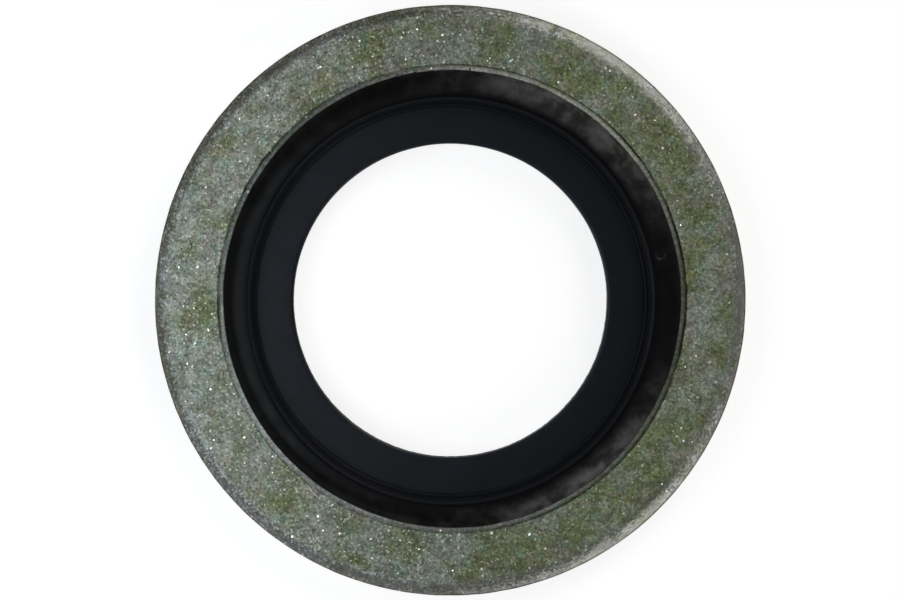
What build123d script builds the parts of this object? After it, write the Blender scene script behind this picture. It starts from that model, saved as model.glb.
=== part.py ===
from build123d import *

import math
import os

# Bonded sealing washer for an M14 thread: a flat steel ring with a rubber seal
# vulcanised into its hole. The seal has a bead on each face and a thin membrane
# across the middle that centres the washer on a screw.
#
# Millimetres, +Z up along the bore. Both sections are drawn about the middle plane
# of the washer, radius to the right and height upwards, and are spun about Z. The
# washer is then lifted so that it stands on its lower bead at Z = 0.

# Steel ring
STEEL_BORE_DIAMETER = 17.0
STEEL_RING_WIDTH = 2.5          # from the bore to the rim, so the rim is 22 across
STEEL_THICKNESS = 1.5

# Rim, as a blanking die leaves it
ROLL_OVER_WIDTH = 0.58          # the upper edge is drawn down into the die
ROLL_OVER_DEPTH = 0.22
ROLL_OVER_RADIUS = 0.05         # where the roll-over runs into the burnished wall
BREAK_ZONE_HEIGHT = 0.5         # the lower part of the wall breaks and tapers in
BREAK_ZONE_TAPER = 0.04
LOWER_EDGE_BREAK = 0.08         # the burr is tumbled off

# Land round the bore, where the two halves of the mould shut on the steel
LAND_WIDTH = 0.23
LAND_DEPTH = 0.02
WITNESS_WIDTH = 0.06            # fine line that the mould's edge prints outside the land
WITNESS_DEPTH = 0.04

# Rubber bead, the same on both faces
BEAD_STAND = 0.35               # height of the crest above the steel
BEAD_WIDTH = 1.0                # from the bond to the crest's inner edge
CREST_WIDTH = 0.1               # flat of the crest
CREST_EDGE_RADIUS = 0.08
WALL_DRAFT = 12.0               # degrees, lets the bead leave the mould

# Centring membrane
MEMBRANE_BORE_DIAMETER = 11.7
MEMBRANE_THICKNESS = 0.5
MEMBRANE_EDGE_BREAK = 0.1

bond_radius = STEEL_BORE_DIAMETER / 2
rim_radius = bond_radius + STEEL_RING_WIDTH
steel_face = STEEL_THICKNESS / 2
land_level = steel_face - LAND_DEPTH
crest_level = steel_face + BEAD_STAND


def spun(section):
    """Solid of a section spun about the bore, standing on the lower bead."""
    return Pos(0, 0, crest_level) * revolve(Plane.XZ * section, axis=Axis.Z)


def steel_ring():
    land_edge = bond_radius + LAND_WIDTH
    witness_outer_edge = land_edge + WITNESS_WIDTH
    witness_line = (land_edge + witness_outer_edge) / 2
    witness_floor = steel_face - WITNESS_DEPTH
    roll_over_start = rim_radius - ROLL_OVER_WIDTH
    roll_over_foot = steel_face - ROLL_OVER_DEPTH
    break_line = BREAK_ZONE_HEIGHT - steel_face
    lower_rim_radius = rim_radius - BREAK_ZONE_TAPER

    upper_face = Polyline(
        (bond_radius, land_level),
        (land_edge, land_level),
        (witness_line, witness_floor),
        (witness_outer_edge, steel_face),
        (roll_over_start, steel_face),
    )
    roll_over = TangentArc(
        (roll_over_start, steel_face),
        (rim_radius, roll_over_foot),
        tangent=(1, 0),
    )
    rim = Polyline(
        (rim_radius, roll_over_foot),
        (rim_radius, break_line),
        (lower_rim_radius, LOWER_EDGE_BREAK - steel_face),
        (lower_rim_radius - LOWER_EDGE_BREAK, -steel_face),
    )
    lower_face = Polyline(
        (lower_rim_radius - LOWER_EDGE_BREAK, -steel_face),
        (witness_outer_edge, -steel_face),
        (witness_line, -witness_floor),
        (land_edge, -land_level),
        (bond_radius, -land_level),
    )
    bond_wall = Line((bond_radius, -land_level), (bond_radius, land_level))
    section = make_face([upper_face, roll_over, rim, lower_face, bond_wall])
    roll_over_end = section.vertices().sort_by_distance((rim_radius, roll_over_foot))[0]
    return spun(fillet(roll_over_end, ROLL_OVER_RADIUS))


def rubber_seal():
    membrane_face = MEMBRANE_THICKNESS / 2
    membrane_bore_radius = MEMBRANE_BORE_DIAMETER / 2
    wall_top_radius = bond_radius - BEAD_WIDTH
    wall_height = crest_level - membrane_face
    wall_foot_radius = wall_top_radius - wall_height * math.tan(math.radians(WALL_DRAFT))
    flank_top_radius = wall_top_radius + CREST_WIDTH

    # The flank leaves the crest level and steepens down to the land
    flank = TangentArc(
        (flank_top_radius, crest_level),
        (bond_radius, land_level),
        tangent=(1, 0),
    )
    inner_wall = FilletPolyline(
        (flank_top_radius, crest_level),
        (wall_top_radius, crest_level),
        (wall_foot_radius, membrane_face),
        radius=CREST_EDGE_RADIUS,
    )
    membrane = Polyline(
        (wall_foot_radius, membrane_face),
        (membrane_bore_radius + MEMBRANE_EDGE_BREAK, membrane_face),
        (membrane_bore_radius, membrane_face - MEMBRANE_EDGE_BREAK),
    )
    upper_half = [flank, inner_wall, membrane]
    lower_half = [mirror(line, about=Plane.XZ) for line in upper_half]
    membrane_wall = Line(membrane @ 1, lower_half[-1] @ 1)
    bond_wall = Line((bond_radius, -land_level), (bond_radius, land_level))
    return spun(make_face([*upper_half, *lower_half, membrane_wall, bond_wall]))


os.makedirs("parts", exist_ok=True)
export_step(steel_ring(), "parts/steel_ring.step")
export_step(rubber_seal(), "parts/rubber_seal.step")
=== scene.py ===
# %% [markdown]
# # Dressing a bonded sealing washer
#
# A bonded sealing washer is two things made into one: a flat steel ring, and a black rubber seal that is
# moulded straight into its hole. The seal stands a little proud of the steel on both faces, so it is
# squashed first when a screw is tightened, and a thin rubber membrane inside it holds the washer central on
# the thread.
#
# The CAD model already has both pieces at their real size. It is loaded first and stays fixed, and every
# measure below is read from it or is written next to the piece that it belongs to. The new pieces are then
# made in the same place, with the small faults that stamping, tumbling and moulding leave behind.

import math

import bmesh
import bpy
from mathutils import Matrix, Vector


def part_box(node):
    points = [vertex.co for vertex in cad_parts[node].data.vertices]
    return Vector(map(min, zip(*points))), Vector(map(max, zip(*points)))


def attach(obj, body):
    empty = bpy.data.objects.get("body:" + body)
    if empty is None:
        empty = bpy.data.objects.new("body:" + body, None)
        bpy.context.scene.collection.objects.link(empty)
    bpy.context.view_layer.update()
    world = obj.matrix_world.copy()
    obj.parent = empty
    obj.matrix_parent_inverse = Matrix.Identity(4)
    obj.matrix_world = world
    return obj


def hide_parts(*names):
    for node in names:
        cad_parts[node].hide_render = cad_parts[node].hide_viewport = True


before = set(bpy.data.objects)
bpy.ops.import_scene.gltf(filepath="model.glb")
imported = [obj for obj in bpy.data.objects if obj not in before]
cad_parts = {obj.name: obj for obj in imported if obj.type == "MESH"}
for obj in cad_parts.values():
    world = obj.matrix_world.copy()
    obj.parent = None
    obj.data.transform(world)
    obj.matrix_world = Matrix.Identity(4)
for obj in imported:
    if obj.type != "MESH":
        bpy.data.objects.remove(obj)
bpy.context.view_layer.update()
print("CAD nodes:", sorted(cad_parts))

# %% Read the main sizes from the CAD nodes
MM = 0.001

ring_low, ring_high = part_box("steel_ring")
seal_low, seal_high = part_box("rubber_seal")

rim_radius = ring_high.x
bond_radius = seal_high.x
upper_face = ring_high.z
lower_face = ring_low.z
crest_level = seal_high.z
middle_level = (seal_low.z + seal_high.z) / 2

print(f"rim {2 * rim_radius / MM:.2f} mm across, rubber bonded at {2 * bond_radius / MM:.2f} mm")
print(f"steel from {lower_face / MM:.2f} to {upper_face / MM:.2f} mm, crest at {crest_level / MM:.2f} mm")

# %% [markdown]
# ## The camera
#
# The washer lies flat and is seen from almost straight above. A camera could simply point down from
# anywhere, but a long lens from afar keeps the circles round and the far and near rims alike. It leans a
# degree and a half off the vertical, so a sliver of the bore's wall shows on one side only. Its distance is
# worked out from the size that the rim should have in the picture.

# %% Place the camera above the washer
FRAME_WIDTH = 900
RIM_RADIUS_IN_FRAME = 295.5
LENS = 135.0
SENSOR_WIDTH = 36.0
CAMERA_LEAN = math.radians(1.5)
CAMERA_LEAN_TOWARDS = math.radians(135)
AIM_OFFSET = Vector((-0.028 * MM, 0.026 * MM, 0.0))
CLIP_NEAR = 5 * MM
CLIP_FAR = 5.0
# The rim is widest this far below the upper face, where its rolled-over edge ends
ROLL_OVER_DEPTH = 0.22 * MM

scene = bpy.context.scene
rim_edge_level = upper_face - ROLL_OVER_DEPTH
lens_in_pixels = FRAME_WIDTH * LENS / SENSOR_WIDTH
camera_distance = lens_in_pixels * rim_radius / RIM_RADIUS_IN_FRAME
aim = Vector((0.0, 0.0, rim_edge_level)) + AIM_OFFSET
lean = Vector((
    math.sin(CAMERA_LEAN) * math.cos(CAMERA_LEAN_TOWARDS),
    math.sin(CAMERA_LEAN) * math.sin(CAMERA_LEAN_TOWARDS),
    math.cos(CAMERA_LEAN),
))

bpy.ops.object.select_all(action="DESELECT")
bpy.ops.object.camera_add(
    location=aim + camera_distance * lean,
    rotation=(-math.asin(lean.y), math.atan2(lean.x, lean.z), 0.0),
)
camera = bpy.context.active_object
camera.name = "camera"
camera.data.lens = LENS
camera.data.sensor_width = SENSOR_WIDTH
camera.data.clip_start = CLIP_NEAR
camera.data.clip_end = CLIP_FAR
scene.camera = camera
scene.view_settings.view_transform = "Standard"
print(f"camera {camera_distance / MM:.1f} mm above the rim")

# %% [markdown]
# ## Helpers for materials
#
# Colours are written as the hex values that a colour picker shows. Those are sRGB values, and Blender's
# sockets want linear ones, so one function turns them. A second function adds one node to a material, gives
# it its settings and joins what feeds it, so that a material reads as a list of what it is made of.
#
# A few kinds of node come again and again, each with one setting. Each of those pairs gets a name, and
# add_node is called with the name in front of what feeds the node.

# %% Helpers: a colour from hex, and a node with its settings and links
def colour(hex_value):
    """Linear RGBA of an sRGB hex colour such as "#6a7163"."""
    channels = [int(hex_value[i:i + 2], 16) / 255 for i in (1, 3, 5)]
    linear = [c / 12.92 if c <= 0.04045 else ((c + 0.055) / 1.055) ** 2.4 for c in channels]
    return (*linear, 1.0)


def add_node(tree, kind, settings=None, inputs=None):
    """Adds a node. Its inputs are a dict by socket, or a tuple in the order of the sockets.

    An input is a value, a socket, or a node whose first output in use is joined.
    """
    node = tree.nodes.new(kind)
    for name, value in (settings or {}).items():
        setattr(node, name, value)
    by_socket = inputs if isinstance(inputs, dict) else dict(enumerate(inputs or ()))
    for key, value in by_socket.items():
        socket = node.inputs[key]
        if isinstance(value, bpy.types.Node):
            value = next(output for output in value.outputs if output.enabled)
        if isinstance(value, bpy.types.NodeSocket):
            tree.links.new(value, socket)
        else:
            socket.default_value = value
    return node


def empty_material(name):
    """A new material whose node tree is empty."""
    material = bpy.data.materials.new(name)
    material.use_nodes = True
    material.node_tree.nodes.clear()
    return material


print("olive drab in linear light:", [round(c, 3) for c in colour("#5b5d40")])

# %% Kinds of node that come again and again, each with its setting
SUBTRACT = ("ShaderNodeMath", {"operation": "SUBTRACT"})
MULTIPLY = ("ShaderNodeMath", {"operation": "MULTIPLY"})
MULTIPLY_ADD = ("ShaderNodeMath", {"operation": "MULTIPLY_ADD"})
GREATER_OF = ("ShaderNodeMath", {"operation": "MAXIMUM"})
LENGTH = ("ShaderNodeVectorMath", {"operation": "LENGTH"})
DOT_PRODUCT = ("ShaderNodeVectorMath", {"operation": "DOT_PRODUCT"})
SUBTRACT_VECTORS = ("ShaderNodeVectorMath", {"operation": "SUBTRACT"})
ADD_VECTORS = ("ShaderNodeVectorMath", {"operation": "ADD"})
# Sockets: 0 the vector, "Scale" the factor
SCALE_VECTOR = ("ShaderNodeVectorMath", {"operation": "SCALE"})
# Sockets: 0 the share, 6 and 7 the two colours, or 2 and 3 the two numbers
MIX_COLOURS = ("ShaderNodeMix", {"data_type": "RGBA"})
MIX_NUMBERS = ("ShaderNodeMix", {"data_type": "FLOAT"})
# In order: the value, where the step starts and ends, and what it gives there, which is 0 and 1 if left out
SMOOTH_STEP = ("ShaderNodeMapRange", {"interpolation_type": "SMOOTHSTEP"})
print("a smooth step is a", SMOOTH_STEP[0])

# %% [markdown]
# ## The light
#
# Small metal parts are usually lit by soft boxes at the sides, low enough to graze the edges, with a dim
# ceiling so that flat rubber stays black. Here two soft boxes stand on the right, behind and in front. A
# third hangs high on the left and close by, so its light falls off across the washer and the left half is
# brighter. The world is a pale ring at the horizon that fades to a dim grey overhead. One even white world
# would be quicker, but it would show no edge and would turn the rubber grey.

# %% World: a pale horizon and a dim ceiling
HORIZON_LIGHT = 0.85
CEILING_LIGHT = 0.05
HORIZON_TOP = math.sin(math.radians(3))
CEILING_START = math.sin(math.radians(15))

world = bpy.data.worlds.new("studio_room")
world.use_nodes = True
scene.world = world
room = world.node_tree
room.nodes.clear()
room_direction = add_node(room, "ShaderNodeTexCoord")
room_height = add_node(room, "ShaderNodeSeparateXYZ", inputs=(room_direction.outputs["Generated"],))
room_light = add_node(
    room, *SMOOTH_STEP, (room_height.outputs["Z"], HORIZON_TOP, CEILING_START, HORIZON_LIGHT, CEILING_LIGHT),
)
background = add_node(room, "ShaderNodeBackground", inputs={"Strength": room_light})
add_node(room, "ShaderNodeOutputWorld", inputs={"Surface": background.outputs[0]})
print(f"world fades from {HORIZON_LIGHT} at the horizon to {CEILING_LIGHT} overhead")

# %% Soft boxes
FAR_LAMP = 300 * MM
NEAR_LAMP = 58 * MM
# Name, distance, azimuth, elevation, width, height, radiance and tint; angles and sizes in degrees
SOFTBOXES = (
    ("softbox_back_right", FAR_LAMP, 55, 37, 25, 52, 2.12, "#fffdfa"),
    ("softbox_front_right", FAR_LAMP, 308, 31, 24, 35, 2.5, "#fffefd"),
    ("softbox_high_left", NEAR_LAMP, 189, 59, 42, 34, 2.05, "#ecf4ff"),
)


def add_softbox(name, distance, azimuth, elevation, width, height, radiance, tint):
    """A rectangular lamp that faces the washer. Angles and sizes are in degrees, as the washer sees them."""
    turn = math.radians(azimuth)
    rise = math.radians(elevation)
    towards_lamp = Vector((
        math.cos(turn) * math.cos(rise),
        math.sin(turn) * math.cos(rise),
        math.sin(rise),
    ))
    bpy.ops.object.light_add(
        type="AREA",
        location=distance * towards_lamp,
        rotation=towards_lamp.to_track_quat("Z", "Y").to_euler(),
    )
    lamp = bpy.context.active_object
    lamp.name = name
    lamp.visible_camera = False
    lamp.data.shape = "RECTANGLE"
    lamp.data.size = 2 * distance * math.tan(math.radians(width / 2))
    lamp.data.size_y = 2 * distance * math.tan(math.radians(height / 2))
    lamp.data.energy = radiance * math.pi * lamp.data.size * lamp.data.size_y
    lamp.data.color = colour(tint)[:3]
    print(f"{name}: {lamp.data.size / MM:.0f} x {lamp.data.size_y / MM:.0f} mm, {lamp.data.energy:.3f} W")


for softbox in SOFTBOXES:
    add_softbox(*softbox)

# %% [markdown]
# ## The floor
#
# A plain white table. Its own colour is a middle grey, so it takes a soft shadow from the washer, and a
# little light of its own lifts what the eye and the reflections see of it to white. More light on the whole
# scene could do the same, but it would also bleach the washer.

# %% Floor
FLOOR_SIZE = 4.0
FLOOR_COLOUR = colour("#b4b4b4")
FLOOR_LIFT = 0.80

bpy.ops.mesh.primitive_plane_add(size=FLOOR_SIZE)
floor = bpy.context.active_object
floor.name = "floor"

# A matt laminate scatters all light, so the lamps leave no glare on it
white_table = empty_material("white_table_top")
table = white_table.node_tree
table_ray = add_node(table, "ShaderNodeLightPath")
table_seen = add_node(
    table, *GREATER_OF, (table_ray.outputs["Is Camera Ray"], table_ray.outputs["Is Glossy Ray"]),
)
table_seen = add_node(table, *GREATER_OF, (table_seen, table_ray.outputs["Is Transmission Ray"]))
table_lift = add_node(table, *MULTIPLY, (table_seen, FLOOR_LIFT))
table_glow = add_node(table, "ShaderNodeEmission", inputs={"Strength": table_lift})
table_paint = add_node(table, "ShaderNodeBsdfDiffuse", inputs={"Color": FLOOR_COLOUR})
table_both = add_node(table, "ShaderNodeAddShader", inputs=(table_paint.outputs[0], table_glow.outputs[0]))
add_node(table, "ShaderNodeOutputMaterial", inputs={"Surface": table_both.outputs[0]})
floor.data.materials.append(white_table)
print("floor", FLOOR_SIZE, "m square at level 0")

# %% [markdown]
# ## Helpers for modelling
#
# Each piece is shaped in edit mode by the same operators that a modeller uses by hand. An operator works on
# what is selected, so one helper selects vertices, edges or faces by their place. Another opens a new piece
# for editing, and a third closes its mesh and counts what is still open.

# %% Helpers: select by place, measure a radius
# Two points are at the same place within NEAR, and are made one within MERGE_DISTANCE
NEAR = 0.002 * MM
MERGE_DISTANCE = 0.001 * MM


def radius_of(vertex):
    """Distance of a vertex from the bore's axis."""
    return math.hypot(vertex.co.x, vertex.co.y)


def select_where(piece, kind, wanted):
    """In edit mode, selects only the verts, edges or faces for which wanted is true, and counts them."""
    mode = {"verts": "VERT", "edges": "EDGE", "faces": "FACE"}[kind]
    bpy.ops.mesh.select_all(action="DESELECT")
    bpy.ops.mesh.select_mode(type=mode)
    cage = bmesh.from_edit_mesh(piece.data)
    chosen = [element for element in getattr(cage, kind) if wanted(element)]
    for element in chosen:
        element.select_set(True)
    cage.select_flush_mode()
    bmesh.update_edit_mesh(piece.data)
    return len(chosen)


def start_editing(piece, name):
    """Names a new primitive, puts its place into its mesh and opens it in edit mode."""
    piece.name = name
    piece.data.name = name
    bpy.ops.object.transform_apply(location=True, rotation=True, scale=True)
    bpy.ops.object.mode_set(mode="EDIT")
    bpy.ops.mesh.select_mode(type="VERT")


def close_mesh(piece):
    """In edit mode, merges doubles, turns all faces outwards and reports what is left open."""
    bpy.ops.mesh.select_all(action="SELECT")
    bpy.ops.mesh.remove_doubles(threshold=MERGE_DISTANCE)
    bpy.ops.mesh.normals_make_consistent(inside=False)
    bpy.ops.object.mode_set(mode="OBJECT")
    cage = bmesh.new()
    cage.from_mesh(piece.data)
    open_edges = sum(1 for edge in cage.edges if len(edge.link_faces) != 2)
    volume = cage.calc_volume() / MM**3
    cage.free()
    print(f"{piece.name}: {len(piece.data.polygons)} faces, {open_edges} open edges, {volume:.1f} mm3")


print("helpers ready; two points closer than", MERGE_DISTANCE / MM, "mm are one")

# %% [markdown]
# ## The steel ring
#
# The real ring is punched from strip. The punch draws the upper edge down into a soft curve, the die
# roll-over, then burnishes a band of the rim, and the rest of the thickness breaks away rough. Later the
# halves of the rubber mould close on the steel beside the hole. They coin a narrow land there, which slopes
# out to a fine line where the mould's edge bites.
#
# A ring like this could be a section that is spun about the axis. It is made here from a cylinder, because
# that is closer to the real work: the flat blank comes first, and its faces are then worked inwards by
# insets, one ring of faces at a time. Many narrow rings of faces also give the dents something to move.

# %% Blank: a cylinder of the ring's size
STEPS_AROUND = 720

bpy.ops.object.select_all(action="DESELECT")
bpy.ops.mesh.primitive_cylinder_add(
    vertices=STEPS_AROUND, radius=rim_radius, depth=upper_face - lower_face,
    location=(0, 0, middle_level),
)
plated_ring = bpy.context.active_object
start_editing(plated_ring, "plated_ring")
print("blank:", STEPS_AROUND, "steps around, one every", round(360 / STEPS_AROUND, 2), "degrees")

# %% Work each face inwards with insets, and open the hole
ROLL_OVER_WIDTH = 0.58 * MM
ROLL_OVER_SHOULDER = 0.249 * MM
WITNESS_WIDTH = 0.05 * MM
WITNESS_DEPTH = 0.04 * MM
LAND_WIDTH = 0.18 * MM
LAND_OUTER_DEPTH = 0.035 * MM
LAND_INNER_DEPTH = -0.005 * MM
FACE_RINGS = 17
LAND_RINGS = 2
# A cap of the cylinder has more corners than a quad, and its normal points along the axis
QUAD_CORNERS = 4
LEAST_CAP_NORMAL = 0.5

land_edge = bond_radius + LAND_WIDTH
witness_edge = land_edge + WITNESS_WIDTH
roll_over_start = rim_radius - ROLL_OVER_WIDTH
face_ring = (roll_over_start - witness_edge) / FACE_RINGS

# Each step is the width of a ring of faces, and how far its inner edge lies above its outer edge
inward_steps = [(ROLL_OVER_SHOULDER, 0), (ROLL_OVER_WIDTH - ROLL_OVER_SHOULDER, 0)]
inward_steps += [(face_ring, 0)] * FACE_RINGS
inward_steps += [
    (WITNESS_WIDTH / 2, -WITNESS_DEPTH),
    (WITNESS_WIDTH / 2, WITNESS_DEPTH - LAND_OUTER_DEPTH),
]
land_rise = LAND_OUTER_DEPTH - LAND_INNER_DEPTH
inward_steps += [(LAND_WIDTH / LAND_RINGS, land_rise / LAND_RINGS)] * LAND_RINGS

for side in (1, -1):
    select_where(
        plated_ring, "faces",
        lambda face: side * face.normal.z > LEAST_CAP_NORMAL and len(face.verts) > QUAD_CORNERS,
    )
    for width, rise in inward_steps:
        bpy.ops.mesh.inset(thickness=width, depth=rise)
    bpy.ops.mesh.delete(type="FACE")

hole_edges = select_where(plated_ring, "edges", lambda edge: len(edge.link_faces) == 1)
bpy.ops.mesh.bridge_edge_loops()
print(len(inward_steps), "rings of faces on each side; the hole is bridged over", hole_edges, "edges")

# %% [markdown]
# The roll-over could be cut with one large bevel, but a bevel's arc meets both sides alike, and the real
# curve starts level and ends steep. So the outer loop is first drawn down by the full depth, which leaves a
# slope. A wide bevel then rounds the slope's shoulder, and a small one the corner where it meets the wall.

# %% Roll the upper edge over
ROLL_OVER_BEVEL = 0.31 * MM
ROLL_OVER_SEGMENTS = 10
ROLL_OVER_RADIUS = 0.05 * MM
ROLL_OVER_END_SEGMENTS = 3

shoulder = rim_radius - ROLL_OVER_SHOULDER
roll_over_turn = math.atan2(ROLL_OVER_DEPTH, ROLL_OVER_SHOULDER)
roll_over_end_bevel = ROLL_OVER_RADIUS * math.tan((math.pi / 2 - roll_over_turn) / 2)


def on_loop(radius, level):
    """Picks the edges of one horizontal loop, by its radius and level."""
    def wanted(edge):
        return all(
            abs(radius_of(vertex) - radius) < NEAR and abs(vertex.co.z - level) < NEAR
            for vertex in edge.verts
        )
    return wanted


select_where(plated_ring, "edges", on_loop(rim_radius, upper_face))
bpy.ops.transform.translate(value=(0, 0, -ROLL_OVER_DEPTH))
select_where(plated_ring, "edges", on_loop(shoulder, upper_face))
bpy.ops.mesh.bevel(offset=ROLL_OVER_BEVEL, segments=ROLL_OVER_SEGMENTS, affect="EDGES")
select_where(plated_ring, "edges", on_loop(rim_radius, upper_face - ROLL_OVER_DEPTH))
bpy.ops.mesh.bevel(offset=roll_over_end_bevel, segments=ROLL_OVER_END_SEGMENTS, affect="EDGES")
print(f"roll-over turns {math.degrees(roll_over_turn):.1f} degrees")

# %% Burnished and broken bands of the rim, and its tumbled lower edge
BREAK_ZONE_HEIGHT = 0.5 * MM
BREAK_ZONE_TAPER = 0.04 * MM
LOWER_EDGE_BREAK = 0.08 * MM
LOWER_EDGE_SEGMENTS = 4
BREAK_ZONE_RINGS = 5
BURNISHED_RINGS = 8
# A wall's normal lies level
GREATEST_WALL_NORMAL = 0.01

break_level = lower_face + BREAK_ZONE_HEIGHT
burnished_top = upper_face - ROLL_OVER_DEPTH
wall_levels = [
    lower_face + BREAK_ZONE_HEIGHT * step / BREAK_ZONE_RINGS
    for step in range(1, BREAK_ZONE_RINGS + 1)
]
wall_levels += [
    break_level + (burnished_top - break_level) * step / BURNISHED_RINGS
    for step in range(1, BURNISHED_RINGS)
]


def on_rim_wall(face):
    """Picks the upright faces of the rim, and not those of the hole."""
    return abs(face.normal.z) < GREATEST_WALL_NORMAL and radius_of(face.verts[0]) > roll_over_start


for level in wall_levels:
    select_where(plated_ring, "faces", on_rim_wall)
    bpy.ops.mesh.bisect(plane_co=(0, 0, level), plane_no=(0, 0, 1), threshold=MERGE_DISTANCE)

# The broken band tapers inwards, all the more the further down it is
for level in [lower_face] + wall_levels[:BREAK_ZONE_RINGS - 1]:
    taper = BREAK_ZONE_TAPER * (break_level - level) / BREAK_ZONE_HEIGHT
    narrower = 1 - taper / rim_radius
    select_where(plated_ring, "edges", on_loop(rim_radius, level))
    bpy.ops.transform.resize(value=(narrower, narrower, 1), center_override=(0, 0, level))

select_where(plated_ring, "edges", on_loop(rim_radius - BREAK_ZONE_TAPER, lower_face))
bpy.ops.mesh.bevel(offset=LOWER_EDGE_BREAK, segments=LOWER_EDGE_SEGMENTS, affect="EDGES")
print("wall levels in mm:", [round(level / MM, 2) for level in wall_levels])

# %% Move the hole a little off the centre, as its punch did
HOLE_SHIFT = Vector((0.055 * MM, 0.065 * MM, 0.0))
HOLE_SHIFT_REACH = 0.6 * MM


def shift_hole(piece, least_radius, greatest_radius):
    """Moves the vertices between two radii by the hole's shift, and draws their neighbours along."""
    moved = select_where(
        piece, "verts", lambda vertex: least_radius < radius_of(vertex) < greatest_radius,
    )
    bpy.ops.transform.translate(
        value=HOLE_SHIFT, use_proportional_edit=True, use_proportional_connected=True,
        proportional_edit_falloff="SMOOTH", proportional_size=HOLE_SHIFT_REACH,
    )
    return moved


moved = shift_hole(plated_ring, bond_radius - NEAR, witness_edge + NEAR)
print(f"hole is {HOLE_SHIFT.length / MM:.3f} mm off centre, {moved} vertices moved")

# %% [markdown]
# Thousands of rings are tumbled together, so each one knocks its neighbours. The faces end up very slightly
# uneven and carry a few soft dents. The lower part of the rim has torn rather than cut, and is rough. Bumps
# in the material could show both, but only real shape also breaks the outline and the light along an edge.

# %% Roughen the torn band
TORN_RELIEF = 0.018 * MM
TORN_UNIFORM = 0.4
TORN_ALONG_NORMAL = 0.8
TORN_SEED = 4


def in_torn_band(vertex):
    """Picks what has torn: the rim's wall below the line where it broke."""
    return radius_of(vertex) > rim_radius - LOWER_EDGE_BREAK and vertex.co.z < break_level - NEAR


torn = select_where(plated_ring, "verts", in_torn_band)
bpy.ops.transform.vertex_random(
    offset=TORN_RELIEF, uniform=TORN_UNIFORM, normal=TORN_ALONG_NORMAL, seed=TORN_SEED,
)
print(torn, "vertices in the torn band")

# %% Knock the dents into the upper face
# Azimuth in degrees, radius, depth and reach in mm, on the upper face
DENTS = (
    (178, 10.86, 0.060, 0.30),
    (171, 10.80, 0.035, 0.45),
    (163, 10.40, 0.015, 0.40),
    (196, 10.30, 0.014, 0.50),
    (221, 10.85, 0.040, 0.30),
    (262, 10.55, 0.018, 0.45),
    (303, 10.84, 0.030, 0.35),
    (333, 9.70, 0.012, 0.40),
    (12, 10.75, 0.025, 0.35),
    (27, 10.10, 0.014, 0.35),
    (70, 10.86, 0.045, 0.30),
    (96, 9.40, 0.012, 0.45),
    (118, 10.80, 0.030, 0.40),
    (140, 9.90, 0.014, 0.35),
)

for azimuth, radius, depth, reach in DENTS:
    turn = math.radians(azimuth)
    place = Vector((radius * math.cos(turn), radius * math.sin(turn))) * MM
    cage = bmesh.from_edit_mesh(plated_ring.data)
    nearest = min(
        (vertex for vertex in cage.verts if vertex.co.z > middle_level),
        key=lambda vertex: (vertex.co.xy - place).length,
    )
    nearest_place = nearest.co.copy()
    select_where(plated_ring, "verts", lambda vertex: (vertex.co - nearest_place).length < NEAR)
    bpy.ops.transform.translate(
        value=(0, 0, -depth * MM), use_proportional_edit=True, use_proportional_connected=True,
        proportional_edit_falloff="SPHERE", proportional_size=reach * MM,
    )
close_mesh(plated_ring)
print(len(DENTS), "dents in the upper face")

# %% Make the steel's faces slightly uneven
TUMBLED_WAVE = 0.7 * MM
TUMBLED_HEIGHT = 0.022 * MM
# The steel stays even this near to the rubber, so that the two still meet
EVEN_BESIDE_RUBBER = 0.45 * MM


def make_uneven(piece, wanted, size, height):
    """Displaces the wanted vertices along their normals by clouds of that size, and applies it."""
    bpy.ops.object.mode_set(mode="EDIT")
    select_where(piece, "verts", wanted)
    bpy.ops.object.vertex_group_assign_new()
    bpy.ops.object.mode_set(mode="OBJECT")
    clouds = bpy.data.textures.new(piece.name + "_clouds", "CLOUDS")
    clouds.noise_scale = size
    bpy.ops.object.modifier_add(type="DISPLACE")
    uneven = piece.modifiers[-1]
    uneven.texture = clouds
    uneven.texture_coords = "LOCAL"
    uneven.strength = height
    uneven.vertex_group = piece.vertex_groups[-1].name
    bpy.ops.object.modifier_apply(modifier=uneven.name)
    print(piece.name, "is uneven by", round(height / MM, 3), "mm over", round(size / MM, 2), "mm")


make_uneven(
    plated_ring, lambda vertex: radius_of(vertex) > bond_radius + EVEN_BESIDE_RUBBER,
    TUMBLED_WAVE, TUMBLED_HEIGHT,
)

# %% [markdown]
# ## The rubber seal
#
# The seal is one moulding. Both halves of its mould are turned on a lathe, so the seal is drawn the same
# way: one line gives the upper half of its section, and it is mirrored to the lower half and spun about the
# axis. The flank of the bead starts level at its crest and steepens outwards to the steel. Inside, a wall
# with 12 degrees of draft drops to the membrane, and its foot is rounded so that it does not tear. Cut and
# bevelled tubes would give the same rings, but they would have to be joined, and this way it is one skin.

# %% Draw the upper half of the section
BEAD_WIDTH = 1.0 * MM
CREST_WIDTH = 0.1 * MM
WALL_DRAFT = math.radians(12)
MEMBRANE_THICKNESS = 0.5 * MM
MEMBRANE_BORE_RADIUS = 5.85 * MM
FLASH_ROOT = 0.05 * MM
FLANK_STEPS = 12

land_level = upper_face - LAND_INNER_DEPTH
membrane_face = middle_level + MEMBRANE_THICKNESS / 2
crest_inner = bond_radius - BEAD_WIDTH
crest_outer = crest_inner + CREST_WIDTH
wall_height = crest_level - membrane_face
wall_foot = crest_inner - wall_height * math.tan(WALL_DRAFT)

flank_run = bond_radius - crest_outer
flank_drop = crest_level - land_level
flank_arc_radius = (flank_run**2 + flank_drop**2) / (2 * flank_drop)
flank_arc_angle = math.asin(flank_run / flank_arc_radius)

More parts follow.
